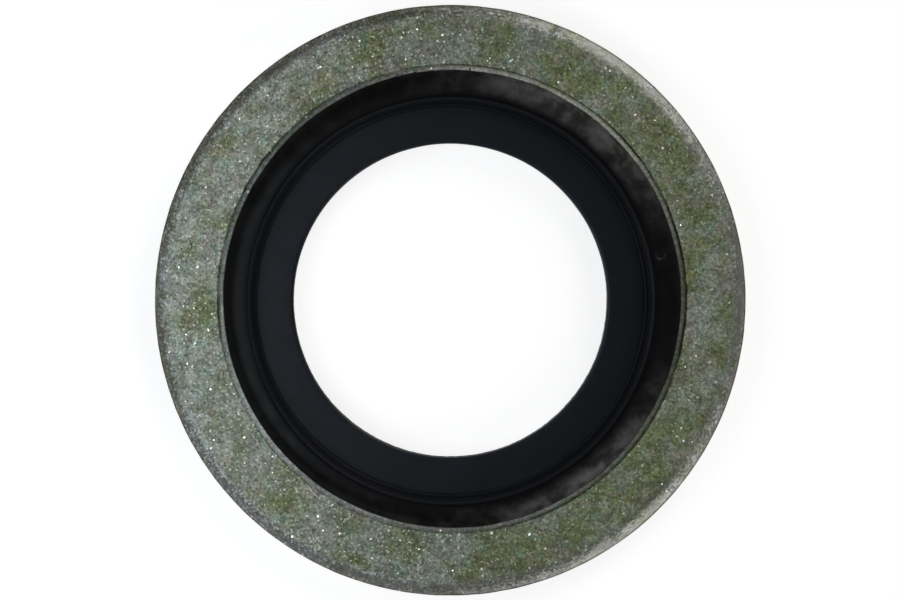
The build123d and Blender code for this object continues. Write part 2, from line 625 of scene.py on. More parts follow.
bpy.ops.object.select_all(action="DESELECT")
bpy.ops.mesh.primitive_plane_add(size=MM, location=(bond_radius, 0, middle_level))
moulded_seal = bpy.context.active_object
start_editing(moulded_seal, "moulded_seal")
bpy.ops.mesh.merge(type="CENTER")


def draw_to(start, end):
    """Extrudes the selected vertex, from start to end, both as radius and level."""
    bpy.ops.mesh.extrude_vertices_move(
        TRANSFORM_OT_translate={"value": (end[0] - start[0], 0, end[1] - start[1])},
    )


draw_to((bond_radius, middle_level), (bond_radius, land_level))
bpy.ops.mesh.spin(
    steps=FLANK_STEPS, angle=flank_arc_angle,
    center=(crest_outer, 0, crest_level - flank_arc_radius), axis=(0, 1, 0),
)
section_corners = [
    (crest_outer, crest_level),
    (crest_inner, crest_level),
    (wall_foot, membrane_face),
    (MEMBRANE_BORE_RADIUS, membrane_face),
    (MEMBRANE_BORE_RADIUS, middle_level + FLASH_ROOT / 2),
    (MEMBRANE_BORE_RADIUS, middle_level),
]
for start, end in zip(section_corners, section_corners[1:]):
    draw_to(start, end)
print(f"flank arc {flank_arc_radius / MM:.2f} mm, {math.degrees(flank_arc_angle):.1f} degrees at the steel")

# %% Round its corners and divide its long runs
CREST_EDGE_RADIUS = 0.08 * MM
WALL_FOOT_RADIUS = 0.08 * MM
MEMBRANE_EDGE_RADIUS = 0.1 * MM
CORNER_SEGMENTS = 5
# Edges that are longer than the first number are cut that often, the membrane first and then the wall
LONG_RUNS = ((0.9 * MM, 13), (0.5 * MM, 5))


def round_corner(corner, radius, turn):
    """Rounds the section's corner at (radius, level) that turns by the given angle."""
    select_where(
        moulded_seal, "verts",
        lambda vertex: abs(vertex.co.x - corner[0]) < NEAR and abs(vertex.co.z - corner[1]) < NEAR,
    )
    bpy.ops.mesh.bevel(offset=radius * math.tan(turn / 2), segments=CORNER_SEGMENTS, affect="VERTICES")


right_angle = math.pi / 2
round_corner(section_corners[1], CREST_EDGE_RADIUS, right_angle - WALL_DRAFT)
round_corner(section_corners[2], WALL_FOOT_RADIUS, right_angle - WALL_DRAFT)
round_corner(section_corners[3], MEMBRANE_EDGE_RADIUS, right_angle)

for shortest, cuts in LONG_RUNS:
    divided = select_where(
        moulded_seal, "edges",
        lambda edge: edge.calc_length() > shortest and min(v.co.x for v in edge.verts) < crest_outer,
    )
    bpy.ops.mesh.subdivide(number_cuts=cuts)
    print("runs divided:", divided)

# %% Mirror the section and spin it
bpy.ops.mesh.select_all(action="SELECT")
bpy.ops.mesh.duplicate()
bpy.ops.transform.resize(value=(1, 1, -1), center_override=(0, 0, middle_level))
bpy.ops.mesh.select_all(action="SELECT")
bpy.ops.mesh.remove_doubles(threshold=MERGE_DISTANCE)
bpy.ops.mesh.spin(steps=STEPS_AROUND, angle=2 * math.pi, center=(0, 0, 0), axis=(0, 0, 1))
bpy.ops.mesh.select_all(action="SELECT")
bpy.ops.mesh.remove_doubles(threshold=MERGE_DISTANCE)
moved = shift_hole(moulded_seal, bond_radius - NEAR, bond_radius + NEAR)
print("spun in", STEPS_AROUND, "steps,", moved, "vertices moved with the hole")

# %% [markdown]
# Where the mould's two halves met in the bore, a hair of rubber was squeezed out: the flash. It was torn off
# by hand, so it is ragged. The membrane is soft and sags a little, and the bead is not perfectly even
# either.

# %% Draw out the flash in the bore
FLASH_HEIGHT = 0.008 * MM
FLASH_SHIFT = (-0.004 * MM, 0.014 * MM, 0.0)
FLASH_RAGGED = 0.006 * MM
FLASH_SEED = 2

flash_scale = 1 - FLASH_HEIGHT / MEMBRANE_BORE_RADIUS
flash = select_where(moulded_seal, "verts", lambda vertex: (
    abs(vertex.co.z - middle_level) < NEAR and radius_of(vertex) < MEMBRANE_BORE_RADIUS + NEAR
))
bpy.ops.transform.resize(value=(flash_scale, flash_scale, 1), center_override=(0, 0, middle_level))
bpy.ops.transform.translate(value=FLASH_SHIFT)
bpy.ops.transform.vertex_random(offset=FLASH_RAGGED, uniform=1.0, normal=0.0, seed=FLASH_SEED)
close_mesh(moulded_seal)
print("flash runs through", flash, "vertices")

# %% Let the membrane sag, and make the upper bead uneven
SAG_WAVE = 2.6 * MM
SAG_HEIGHT = 0.035 * MM
EVEN_AT_WALL_FOOT = 0.15 * MM
BEAD_WAVE = 0.9 * MM
BEAD_HEIGHT = 0.012 * MM
EVEN_AT_BOND = 0.12 * MM


def in_sagging_membrane(vertex):
    """Picks the membrane, up to a little short of the wall's foot."""
    return radius_of(vertex) < wall_foot - EVEN_AT_WALL_FOOT


def on_upper_bead(vertex):
    """Picks the upper bead, up to a little short of the steel."""
    return wall_foot < radius_of(vertex) < bond_radius - EVEN_AT_BOND and vertex.co.z > middle_level


make_uneven(moulded_seal, in_sagging_membrane, SAG_WAVE, SAG_HEIGHT)
make_uneven(moulded_seal, on_upper_bead, BEAD_WAVE, BEAD_HEIGHT)

# %% [markdown]
# ## Plated steel
#
# Zinc plating with an olive passivation, over steel that was tumbled in stone chips. The passivation is a
# conversion film less than a micron thick, and its colour drifts between olive, grey-green, teal and brown
# with its thickness. The zinc under it is a crust of small crystals. Most are dull, a few face the light and
# sparkle, and the dark of the grain is the pits between them.
#
# An image could be wrapped round the ring, but a pattern made of nodes has no seam, stays sharp at any
# distance and goes round every edge. It is built up in the order of the real one: film, grain, crystals, and
# last the places where the tools have touched. All patterns are in millimetres, on the piece's own
# coordinates, so one over a scale is the size of a feature.
#
# Each step below is a named range: the value where it starts, the value where it ends, and what it gives at
# the two. A range of two numbers gives 0 and 1. A band has its middle, and how far from there it is full and
# is gone.

# %% Steel: millimetres, radius and level as the pattern's own ruler
METRES_TO_MM = 1 / MM

plated_steel = empty_material("zinc_plated_olive_passivated_steel")
steel = plated_steel.node_tree
steel_place = add_node(steel, "ShaderNodeTexCoord")
steel_mm = add_node(steel, *SCALE_VECTOR, {0: steel_place.outputs["Object"], "Scale": METRES_TO_MM})
steel_xyz = add_node(steel, "ShaderNodeSeparateXYZ", inputs=(steel_mm,))
steel_x, steel_y, steel_level = steel_xyz.outputs
steel_flat = add_node(steel, "ShaderNodeCombineXYZ", inputs=(steel_x, steel_y))
steel_radius = add_node(steel, *LENGTH, (steel_flat,)).outputs["Value"]
hole_place = add_node(steel, *SUBTRACT_VECTORS, (steel_flat, HOLE_SHIFT / MM))
hole_radius = add_node(steel, *LENGTH, (hole_place,)).outputs["Value"]
unit_flat = add_node(steel, "ShaderNodeVectorMath", {"operation": "NORMALIZE"}, (steel_flat,))
print("steel pattern is scaled by", METRES_TO_MM)


# %% Helpers: a band about a value, and a number that fades by several values
def band(tree, value, middle, full, none):
    """1 where value is within full of middle, fading to 0 at none from it."""
    offset = add_node(tree, *SUBTRACT, (value, middle))
    distance = add_node(tree, "ShaderNodeMath", {"operation": "ABSOLUTE"}, (offset,))
    return add_node(tree, *SMOOTH_STEP, (distance, full, none, 1.0, 0.0))


def faded(tree, number, steps):
    """The number times one smooth step for each pair of a value and its range."""
    for value, value_range in steps:
        step = add_node(tree, *SMOOTH_STEP, (value, *value_range))
        number = add_node(tree, *MULTIPLY, (number, step))
    return number


print("helpers ready: band and faded")

# %% Steel: the colour of the passivation film
FILM_GREY_GREEN = colour("#989e91")
FILM_OLIVE = colour("#7c845f")
FILM_TEAL = colour("#84a396")
FILM_BROWN = colour("#a1958e")
OLIVE_PATCH_MM = 1.7
TINT_PATCH_MM = 0.6
# The plating is coarser on the left, and its film is thinner there. Its crystals are also painted near white
# more strongly there, as painted glints where the near lamp shines
COARSE_AND_GLINTING_SIDE = (-9.0, 6.0, 1.0, 0.5)
COARSE_THINS_FILM = -0.24
OLIVE_SHARE = (0.19, 0.46)
TEAL_SHARE = (0.50, 0.70, 0.0, 0.42)
BROWN_SHARE = (0.50, 0.68, 0.0, 0.45)

film_thickness = add_node(
    steel, "ShaderNodeTexNoise",
    inputs={"Vector": steel_mm, "Scale": 1 / OLIVE_PATCH_MM, "Detail": 4.0, "Roughness": 0.62},
)
film_tint = add_node(
    steel, "ShaderNodeTexNoise",
    inputs={"Vector": steel_mm, "Scale": 1 / TINT_PATCH_MM, "Detail": 3.0, "Roughness": 0.55},
)
film_tint_channels = add_node(steel, "ShaderNodeSeparateColor", inputs=(film_tint.outputs["Color"],))
red_draw, green_draw, blue_draw = film_tint_channels.outputs
coarse_and_glinting_side = add_node(steel, *SMOOTH_STEP, (steel_x, *COARSE_AND_GLINTING_SIDE))
olive_share = add_node(steel, *MULTIPLY_ADD, (coarse_and_glinting_side, COARSE_THINS_FILM, film_thickness))

film = FILM_GREY_GREEN
for value, share, tint in (
    (olive_share, OLIVE_SHARE, FILM_OLIVE),
    (red_draw, TEAL_SHARE, FILM_TEAL),
    (blue_draw, BROWN_SHARE, FILM_BROWN),
):
    tint_share = add_node(steel, *SMOOTH_STEP, (value, *share))
    film = add_node(steel, *MIX_COLOURS, {0: tint_share, 6: film, 7: tint})
print("film patches", OLIVE_PATCH_MM, "mm, teal and brown tints", TINT_PATCH_MM, "mm")

# %% Steel: light and dark of the grain and the crust, and painted light towards both ends of X
GRAIN_MM = 0.11
CRUST_MM = 0.33
GRAIN_SHADE = (0.30, 0.72, 0.66, 1.34)
CRUST_SHADE = (0.30, 0.70, 0.82, 1.18)
# Painted light: the plating is painted a little paler towards both ends of X than across the middle
LEFT_PAINTED_LIGHT = (-9.5, -1.0, 1.27, 0.98)
RIGHT_PAINTED_LIGHT = (-1.0, 8.0, 1.0, 1.24)

grain = add_node(
    steel, "ShaderNodeTexNoise",
    inputs={"Vector": steel_mm, "Scale": 1 / GRAIN_MM, "Detail": 2.0, "Roughness": 0.6},
)
crust = add_node(
    steel, "ShaderNodeTexNoise",
    inputs={"Vector": steel_mm, "Scale": 1 / CRUST_MM, "Detail": 1.0, "Roughness": 0.5},
)
# Grain and crust give the film's own tone, and the two steps along X add painted light
film_tone_and_painted_light = faded(
    steel, add_node(steel, *SMOOTH_STEP, (grain, *GRAIN_SHADE)),
    [(crust, CRUST_SHADE), (steel_x, LEFT_PAINTED_LIGHT), (steel_x, RIGHT_PAINTED_LIGHT)],
)
film = add_node(steel, *SCALE_VECTOR, {0: film, "Scale": film_tone_and_painted_light})
print("crust", CRUST_MM, "mm, grain", GRAIN_MM, "mm")

# %% [markdown]
# The crystals of the crust lean every way. Where one faces a lamp it sparkles, so each gets its own lean and
# the lamps decide which ones shine. The small and bright crystals and the mirrors are also painted near
# white, as painted glints, the small ones and the mirrors more strongly on the left, where the near lamp
# shines.
# White dots alone would be easier, but they would stay lit however the washer turns. There are four kinds:
# facets all over, small and bright crystals, and some as smooth as mirrors.

# %% Steel: crystals of the zinc crust
# Real crystals are 10 to 30 microns across. They are drawn two or three times as coarse, as wide as they
# glare.
FACET_MM = 0.06
RAGGED_MM = 0.09
# Pitch in mm, share of cells that have one, its full and its whole size in pitches, and the weakest one
BRIGHT_CRYSTALS = (0.27, 0.22, 0.14, 0.25, 0.5)
SMALL_CRYSTALS = (0.13, 0.42, 0.08, 0.42, 0.1)
MIRROR_CRYSTALS = (0.36, 0.75, 0.08, 0.17, 0.8)
MIRRORS_ON_GLINTING_SIDE = (0.5, 0.9, 0.75, 1.0)
MIDDLE_OF_RANGE = (0.5, 0.5, 0.5)


def scattered_dots(tree, place, pitch, share, core, edge, weakest):
    """Round dots, at most one to a cell of that pitch, in that share of the cells. Gives dots and cells.

    A dot is full out to core and gone at edge, both in pitches. Its strength is between weakest and 1.
    """
    cells = add_node(tree, "ShaderNodeTexVoronoi", inputs={"Vector": place, "Scale": 1 / pitch})
    dot = add_node(tree, *SMOOTH_STEP, (cells.outputs["Distance"], core, edge, 1.0, 0.0))
    cell_draw = add_node(tree, "ShaderNodeSeparateColor", inputs=(cells.outputs["Color"],)).outputs["Blue"]
    kept = add_node(tree, "ShaderNodeMath", {"operation": "LESS_THAN"}, (cell_draw, share))
    dots = add_node(tree, *MULTIPLY, (dot, kept))
    return faded(tree, dots, [(cell_draw, (0.0, share, 1.0, weakest))]), cells


ragged = add_node(
    steel, "ShaderNodeTexNoise", inputs={"Vector": steel_mm, "Scale": 1 / RAGGED_MM, "Detail": 2.0},
)
ragged = add_node(steel, *SUBTRACT_VECTORS, (ragged.outputs["Color"], MIDDLE_OF_RANGE))
ragged_mm = add_node(
    steel, "ShaderNodeVectorMath", {"operation": "MULTIPLY_ADD"}, (ragged, (RAGGED_MM,) * 3, steel_mm),
)
facet_cells = add_node(
    steel, "ShaderNodeTexVoronoi", inputs={"Vector": ragged_mm, "Scale": 1 / FACET_MM},
)
bright_crystals, bright_cells = scattered_dots(steel, ragged_mm, *BRIGHT_CRYSTALS)
small_crystals, small_cells = scattered_dots(steel, ragged_mm, *SMALL_CRYSTALS)
small_crystals = add_node(steel, *MULTIPLY, (small_crystals, coarse_and_glinting_side))
mirrors, mirror_cells = scattered_dots(steel, ragged_mm, *MIRROR_CRYSTALS)
mirrors = faded(steel, mirrors, [(coarse_and_glinting_side, MIRRORS_ON_GLINTING_SIDE)])
print("facets", FACET_MM, "mm, bright crystals every", BRIGHT_CRYSTALS[0], "mm at most")

# %% [markdown]
# The mould has pressed the land beside the hole flat and dull. The land is painted lighter at two opposite
# places than between them, and lighter towards the hole, as painted light. The fine witness line outside it
# is painted dark, as dirt and painted shade in its groove, fainter on some sides, and a film of rubber has
# crept a little way out over the steel. The land could have a material of its own, but a finish that fades
# with the radius has no hard seam.

# %% Steel: the coined land, its witness line and the rubber film
LAND_FILM_MM = 2.2
LAND_EDGE = (land_edge / MM - 0.01, land_edge / MM + 0.02, 1.0, 0.0)
LAND_LIGHT_SIDE = (0.41, 0.91, 0.0)
LAND_FILM_SHADE = (0.35, 0.62, 1.15, 0.9)
LAND_SIDE_PAINTED_LIGHT = (0.0, 1.0, 0.62, 1.65)
LAND_GRAIN_SHADE = (0.3, 0.7, 0.72, 1.3)
# Painted light: the land is lighter towards the hole and darker outwards
LAND_SLOPE_PAINTED_LIGHT = (bond_radius / MM + 0.07, land_edge / MM, 1.25, 0.75)
WITNESS_RAGGED_MM = 0.1
WITNESS_ACROSS = 0.35
WITNESS_HALF_WIDTHS_MM = (0.015, 0.08)
FAINT_WITNESS_SIDE = (-0.57, -0.82, 0.0)
WITNESS_DARK_BY_FILM = (0.42, 0.68, 1.0, 0.3)
WITNESS_DARK_BY_SIDE = (0.5, 0.9, 1.0, 0.0)
WITNESS_DARK_NEAR = (-6.0, 0.0, 0.55, 1.0)
WITNESS_DARK_FAR = (4.5, 8.5, 1.0, 0.3)
RUBBER_FILM_REACH_MM = 0.1
RUBBER_FILM_EDGE = (bond_radius / MM - 0.7 * RUBBER_FILM_REACH_MM, bond_radius / MM, 1.0, 0.0)

upper_land = add_node(steel, *SMOOTH_STEP, (hole_radius, *LAND_EDGE))
land_film = add_node(
    steel, "ShaderNodeTexNoise",
    inputs={"Vector": steel_mm, "Scale": 1 / LAND_FILM_MM, "Detail": 4.0, "Roughness": 0.6},
)
# Painted light: the land is lighter towards two opposite sides than between them
land_light_side = add_node(steel, *DOT_PRODUCT, (unit_flat, LAND_LIGHT_SIDE)).outputs["Value"]
land_light_side = add_node(steel, *MULTIPLY, (land_light_side, land_light_side))
land_tone_and_painted_light = faded(
    steel, add_node(steel, *SMOOTH_STEP, (land_film, *LAND_FILM_SHADE)),
    [(land_light_side, LAND_SIDE_PAINTED_LIGHT), (grain, LAND_GRAIN_SHADE), (hole_radius, LAND_SLOPE_PAINTED_LIGHT)],
)

# The crust's own noise, whose middle is a half, frets the line
witness_place = add_node(steel, *MULTIPLY_ADD, (crust, WITNESS_RAGGED_MM, hole_radius))
witness_middle = (land_edge + WITNESS_ACROSS * WITNESS_WIDTH) / MM + WITNESS_RAGGED_MM / 2
witness_line = band(steel, witness_place, witness_middle, *WITNESS_HALF_WIDTHS_MM)
# The witness line is painted dark, as dirt and painted shade in its groove, and fainter on some sides
faint_witness_side = add_node(steel, *DOT_PRODUCT, (unit_flat, FAINT_WITNESS_SIDE)).outputs["Value"]
witness_dirt_and_shade = faded(steel, witness_line, [
    (land_film, WITNESS_DARK_BY_FILM),
    (faint_witness_side, WITNESS_DARK_BY_SIDE),
    (steel_y, WITNESS_DARK_NEAR),
    (steel_y, WITNESS_DARK_FAR),
])
rubber_film = add_node(steel, *MULTIPLY_ADD, (land_film, -RUBBER_FILM_REACH_MM, hole_radius))
rubber_film = add_node(steel, *SMOOTH_STEP, (rubber_film, *RUBBER_FILM_EDGE))
print(f"witness line at {witness_middle:.2f} mm on the pattern's ruler, fretted by {WITNESS_RAGGED_MM} mm")

# %% [markdown]
# The rolled-over edge has been tumbled smooth and paler, with short scuffs along it, and a brown line stays
# at the rim. On one side the rim is painted darker olive, as painted shade, and on another a dull band on
# the inner part of the roll-over is painted shade that narrows the lamp's highlight. On the left a pale
# bluish zone just inside the edge is a painted highlight. Such marks could be painted on by hand. Here each
# is a range of radius times a range of direction, so that it can be moved or widened by changing one number.

# %% Steel: rolled edge, painted shade on two sides of the rim, and a painted highlight on the left
rim_mm = rim_radius / MM
roll_over_mm = roll_over_start / MM

ROLL_OVER = (roll_over_mm - 0.1, roll_over_mm + 0.3)
ROLLED_BY_TINT = (0.4, 0.6, 0.45, 0.9)
RIM_LINE = (rim_mm - 0.09, rim_mm - 0.02)
RIM_LINE_BY_OLIVE = (0.2, 0.4, 0.6, 0.95)
PAINTED_SHADE_REACH_MM = 0.9
RIM_SHADE_SIDE = (-0.8, 0.6, 0.0)
RIM_PAINTED_SHADE = (rim_mm - 0.08, rim_mm + 0.26)
RIM_SHADE_BY_SIDE = (0.15, 0.75, 0.0, 0.6)
LOWER_RIGHT_SIDE = (0.46, -0.89, 0.0)
LOWER_RIGHT_SHADE_BAND = (rim_mm - 0.36 + PAINTED_SHADE_REACH_MM / 2, 0.06, 0.28)
LOWER_RIGHT_SHADE_BY_SIDE = (0.78, 0.97, 0.0, 0.5)
LEFT_HIGHLIGHT_BAND = (rim_mm - 0.75, 0.12, 0.42)
LEFT_HIGHLIGHT_SIDE = (-9.8, -8.2, 0.18, 0.0)
LEFT_HIGHLIGHT_BY_CRUST = (0.4, 0.6)

roll_over = add_node(steel, *SMOOTH_STEP, (steel_radius, *ROLL_OVER))
rolled = faded(steel, roll_over, [(green_draw, ROLLED_BY_TINT)])
rim_line = add_node(steel, *SMOOTH_STEP, (steel_radius, *RIM_LINE))
rim_line = faded(steel, rim_line, [(olive_share, RIM_LINE_BY_OLIVE)])
# Painted shade: the rim is painted darker olive on one side
rim_shade_side = add_node(steel, *DOT_PRODUCT, (unit_flat, RIM_SHADE_SIDE)).outputs["Value"]
painted_shade_edge = add_node(steel, *MULTIPLY_ADD, (film_thickness, PAINTED_SHADE_REACH_MM, steel_radius))
rim_painted_shade = add_node(steel, *SMOOTH_STEP, (painted_shade_edge, *RIM_PAINTED_SHADE))
rim_painted_shade = faded(steel, rim_painted_shade, [(rim_shade_side, RIM_SHADE_BY_SIDE)])
# Painted shade: a dull band on the inner part of the roll-over narrows the lamp's highlight on one side
lower_right_side = add_node(steel, *DOT_PRODUCT, (unit_flat, LOWER_RIGHT_SIDE)).outputs["Value"]
lower_right_painted_shade = faded(steel, band(steel, painted_shade_edge, *LOWER_RIGHT_SHADE_BAND), [(lower_right_side, LOWER_RIGHT_SHADE_BY_SIDE)])
# Painted highlight: a pale bluish zone just inside the edge on the left
left_pale_highlight = faded(
    steel, band(steel, steel_radius, *LEFT_HIGHLIGHT_BAND),
    [(steel_x, LEFT_HIGHLIGHT_SIDE), (crust, LEFT_HIGHLIGHT_BY_CRUST)],
)
print(f"the rolled edge takes over between {ROLL_OVER[0]:.2f} and {ROLL_OVER[1]:.2f} mm")

# %% Steel: scuffs along the rolled edge
SCUFF_LENGTH_MM = 0.9
SCUFF_WIDTH_MM = 0.11
SCUFFED_BAND = (rim_mm - 0.22, rim_mm - 0.06, 1.0, 0.2)
SCUFF_STREAKS = (0.52, 0.72, 0.0, 0.75)

# The noise is read at a place that turns slowly around the rim and fast across it, so its blots are streaks
around = add_node(steel, *SCALE_VECTOR, {0: unit_flat, "Scale": rim_mm / SCUFF_LENGTH_MM})
across = add_node(steel, *MULTIPLY, (steel_radius, 1 / SCUFF_WIDTH_MM))
down = add_node(steel, *MULTIPLY_ADD, (steel_level, 1 / SCUFF_WIDTH_MM, across))
down = add_node(steel, "ShaderNodeCombineXYZ", inputs={"Z": down})
scuff_place = add_node(steel, *ADD_VECTORS, (around, down))
scuff_streaks = add_node(
    steel, "ShaderNodeTexNoise",
    inputs={"Vector": scuff_place, "Scale": 1.0, "Detail": 4.0, "Roughness": 0.7},
)
scuffs = faded(steel, roll_over, [(steel_radius, SCUFFED_BAND), (scuff_streaks, SCUFF_STREAKS)])
print("scuffs are", SCUFF_LENGTH_MM, "mm long and", SCUFF_WIDTH_MM, "mm wide")

# %% Steel: burnished and broken bands of the rim's wall
DRAG_MARK_MM = 0.16
ON_WALL = (rim_mm - 0.1, rim_mm - 0.05)
BELOW_ROLL_OVER = (upper_face / MM - 0.26, upper_face / MM - 0.21, 1.0, 0.0)
BELOW_BREAK_LINE = (0.80, 0.90, 1.0, 0.0)
DRAG_MARK_SHADE = (0.3, 0.7, 0.6, 1.25)

on_wall = add_node(steel, *SMOOTH_STEP, (steel_radius, *ON_WALL))
on_wall = faded(steel, on_wall, [(steel_level, BELOW_ROLL_OVER)])
on_break = faded(steel, on_wall, [(steel_level, BELOW_BREAK_LINE)])

# The die drags fine marks down the wall. They depend only on the place around it, so they run straight down.
drag_place = add_node(steel, *SCALE_VECTOR, {0: unit_flat, "Scale": rim_mm / DRAG_MARK_MM})
drag_marks = add_node(
    steel, "ShaderNodeTexNoise",
    inputs={"Vector": drag_place, "Scale": 1.0, "Detail": 4.0, "Roughness": 0.65},
)
drag_shade = add_node(steel, *SMOOTH_STEP, (drag_marks, *DRAG_MARK_SHADE))
print("drag marks are about", DRAG_MARK_MM, "mm apart")

# %% Steel: lay the finishes over each other
ROLL_OVER_COLOUR = colour("#a4a5a4")
# The crystals' near-white is a painted glint; their lean gives the real ones
CRYSTAL_PAINTED_GLINT_COLOUR = colour("#fbffee")
LEFT_HIGHLIGHT_COLOUR = colour("#dbe5ea")
RIM_SHADE_COLOUR = colour("#5f6147")
LOWER_RIGHT_SHADE_COLOUR = colour("#6a6c5c")
LAND_COLOUR = colour("#797a76")
SCUFF_COLOUR = colour("#d6d6d5")
RUBBER_FILM_COLOUR = colour("#191a19")
WITNESS_DIRT_AND_SHADE_COLOUR = colour("#333a2f")
RIM_LINE_COLOUR = colour("#5a524c")
BURNISHED_COLOUR = colour("#a3a69c")
BROKEN_COLOUR = colour("#6b6d62")
# How far each finish hides what is under it
LAND_COVER = 0.75
BURNISHED_COVER = 0.7
BROKEN_COVER = 0.8
# How far the crystals are rubbed flat
LAND_RUBBED = 0.7
ROLL_OVER_RUBBED = 0.35

land_rubbed = add_node(steel, *MULTIPLY, (upper_land, LAND_RUBBED))
edge_rubbed = add_node(steel, *MULTIPLY, (roll_over, ROLL_OVER_RUBBED))
rubbed = add_node(steel, *GREATER_OF, (land_rubbed, edge_rubbed))
untouched = add_node(steel, *SUBTRACT, (1.0, rubbed))
land_colour = add_node(steel, *SCALE_VECTOR, {0: LAND_COLOUR[:3], "Scale": land_tone_and_painted_light})
burnished = add_node(steel, *SCALE_VECTOR, {0: BURNISHED_COLOUR[:3], "Scale": drag_shade})

worn = film
for share, finish in (
    (rolled, ROLL_OVER_COLOUR),
    (add_node(steel, *MULTIPLY, (small_crystals, untouched)), CRYSTAL_PAINTED_GLINT_COLOUR),
    (add_node(steel, *MULTIPLY, (bright_crystals, untouched)), CRYSTAL_PAINTED_GLINT_COLOUR),
    (mirrors, CRYSTAL_PAINTED_GLINT_COLOUR),
    (left_pale_highlight, LEFT_HIGHLIGHT_COLOUR),
    (rim_painted_shade, RIM_SHADE_COLOUR),
    (lower_right_painted_shade, LOWER_RIGHT_SHADE_COLOUR),
    (add_node(steel, *MULTIPLY, (upper_land, LAND_COVER)), land_colour),
    (scuffs, SCUFF_COLOUR),
    (rubber_film, RUBBER_FILM_COLOUR),
    (witness_dirt_and_shade, WITNESS_DIRT_AND_SHADE_COLOUR),
    (rim_line, RIM_LINE_COLOUR),
    (add_node(steel, *MULTIPLY, (on_wall, BURNISHED_COVER)), burnished),
    (add_node(steel, *MULTIPLY, (on_break, BROKEN_COVER)), BROKEN_COLOUR),
):
    worn = add_node(steel, *MIX_COLOURS, {0: share, 6: worn, 7: finish})
print("zones: land, witness line, face, roll-over, burnished and broken bands")

# %% Steel: roughness, from matt film to mirror crystals
MATT = 0.54
MATT_SPREAD = 0.05
GRAIN_RANGE = (0.3, 0.7)
ROLL_OVER_GLOSS = 0.44
LAND_GLOSS = 0.5
SMALL_CRYSTAL_GLOSS = 0.44
BRIGHT_CRYSTAL_GLOSS = 0.34
MIRROR_GLOSS = 0.15
BURNISHED_GLOSS = 0.34
BROKEN_MATT = 0.68

steel_roughness = add_node(
    steel, *SMOOTH_STEP, (grain, *GRAIN_RANGE, MATT - MATT_SPREAD, MATT + MATT_SPREAD),
)
for zone, roughness in (
    (roll_over, ROLL_OVER_GLOSS),
    (upper_land, LAND_GLOSS),
    (small_crystals, SMALL_CRYSTAL_GLOSS),
    (bright_crystals, BRIGHT_CRYSTAL_GLOSS),
    (mirrors, MIRROR_GLOSS),
    (on_wall, BURNISHED_GLOSS),
    (on_break, BROKEN_MATT),
):
    steel_roughness = add_node(steel, *MIX_NUMBERS, {0: zone, 2: steel_roughness, 3: roughness})
print("roughness from", MIRROR_GLOSS, "on a mirror crystal to", BROKEN_MATT, "on the broken band")

# %% Steel: relief of the grain, and the lean of each crystal
GRAIN_RELIEF = 0.005 * MM
FACET_TILT = 0.75
SMALL_CRYSTAL_TILT = 0.6
BRIGHT_CRYSTAL_TILT = 0.45
MIRROR_CRYSTAL_TILT = 0.5

facets = add_node(steel, *MULTIPLY, (untouched, coarse_and_glinting_side))
steel_normal = add_node(steel, "ShaderNodeBump", inputs={"Height": grain, "Distance": GRAIN_RELIEF})
for cells, crystals, tilt in (
    (facet_cells, facets, FACET_TILT),
    (small_cells, small_crystals, SMALL_CRYSTAL_TILT),
    (bright_cells, bright_crystals, BRIGHT_CRYSTAL_TILT),
    (mirror_cells, mirrors, MIRROR_CRYSTAL_TILT),
):
    amount = add_node(steel, *MULTIPLY, (crystals, tilt))
    cell_draw = add_node(steel, *SUBTRACT_VECTORS, (cells.outputs["Color"], MIDDLE_OF_RANGE))
    cell_lean = add_node(steel, *SCALE_VECTOR, {0: cell_draw, "Scale": amount})
    steel_normal = add_node(steel, *ADD_VECTORS, (steel_normal, cell_lean))
steel_normal = add_node(steel, "ShaderNodeVectorMath", {"operation": "NORMALIZE"}, (steel_normal,))

# A metal through and through, so its colour is the colour of its reflections
steel_shader = add_node(
    steel, "ShaderNodeBsdfPrincipled",
    inputs={"Base Color": worn, "Metallic": 1.0, "Roughness": steel_roughness, "Normal": steel_normal},
)
add_node(steel, "ShaderNodeOutputMaterial", inputs={"Surface": steel_shader.outputs[0]})
plated_ring.data.materials.append(plated_steel)
print("nodes in plated steel:", len(steel.nodes))

# %% [markdown]
# ## Moulded nitrile rubber
#
# Nitrile rubber is black with soot, so nearly all that is seen of it is its satin sheen. Its skin is a print
# of the mould, which was turned on a lathe and leaves faint rings. The membrane has a bluish cast. The
# bead's inner wall is painted a little greyer, as a painted sheen where it meets the eye at a slant. On the
# flank of the bead, wax has come out of the rubber as a thin grey bloom, in clouds. Its grey is partly
# painted light: it is kept to where the lamps light the flank, fades out at the left and is thin across the
# middle.
#
# A flat black would be simpler, but the piece would look like a hole in the picture. The bloom, the rings
# and a few specks of dust are what show that there is a surface.

# %% Rubber: millimetres and radius
nitrile_rubber = empty_material("moulded_nitrile_rubber_with_wax_bloom")
rubber = nitrile_rubber.node_tree
rubber_place = add_node(rubber, "ShaderNodeTexCoord")
rubber_mm = add_node(rubber, *SCALE_VECTOR, {0: rubber_place.outputs["Object"], "Scale": METRES_TO_MM})
rubber_xyz = add_node(rubber, "ShaderNodeSeparateXYZ", inputs=(rubber_mm,))
rubber_x, rubber_y = rubber_xyz.outputs[:2]
rubber_flat = add_node(rubber, "ShaderNodeCombineXYZ", inputs=(rubber_x, rubber_y))
rubber_radius = add_node(rubber, *LENGTH, (rubber_flat,)).outputs["Value"]
aside = add_node(rubber, "ShaderNodeMath", {"operation": "ABSOLUTE"}, (rubber_y,))
print("rubber pattern is scaled by", METRES_TO_MM)

# %% Rubber: bluish membrane, inner wall with painted sheen, and grey bloom with painted light
crest_inner_mm = crest_inner / MM
crest_outer_mm = crest_outer / MM
wall_foot_mm = wall_foot / MM

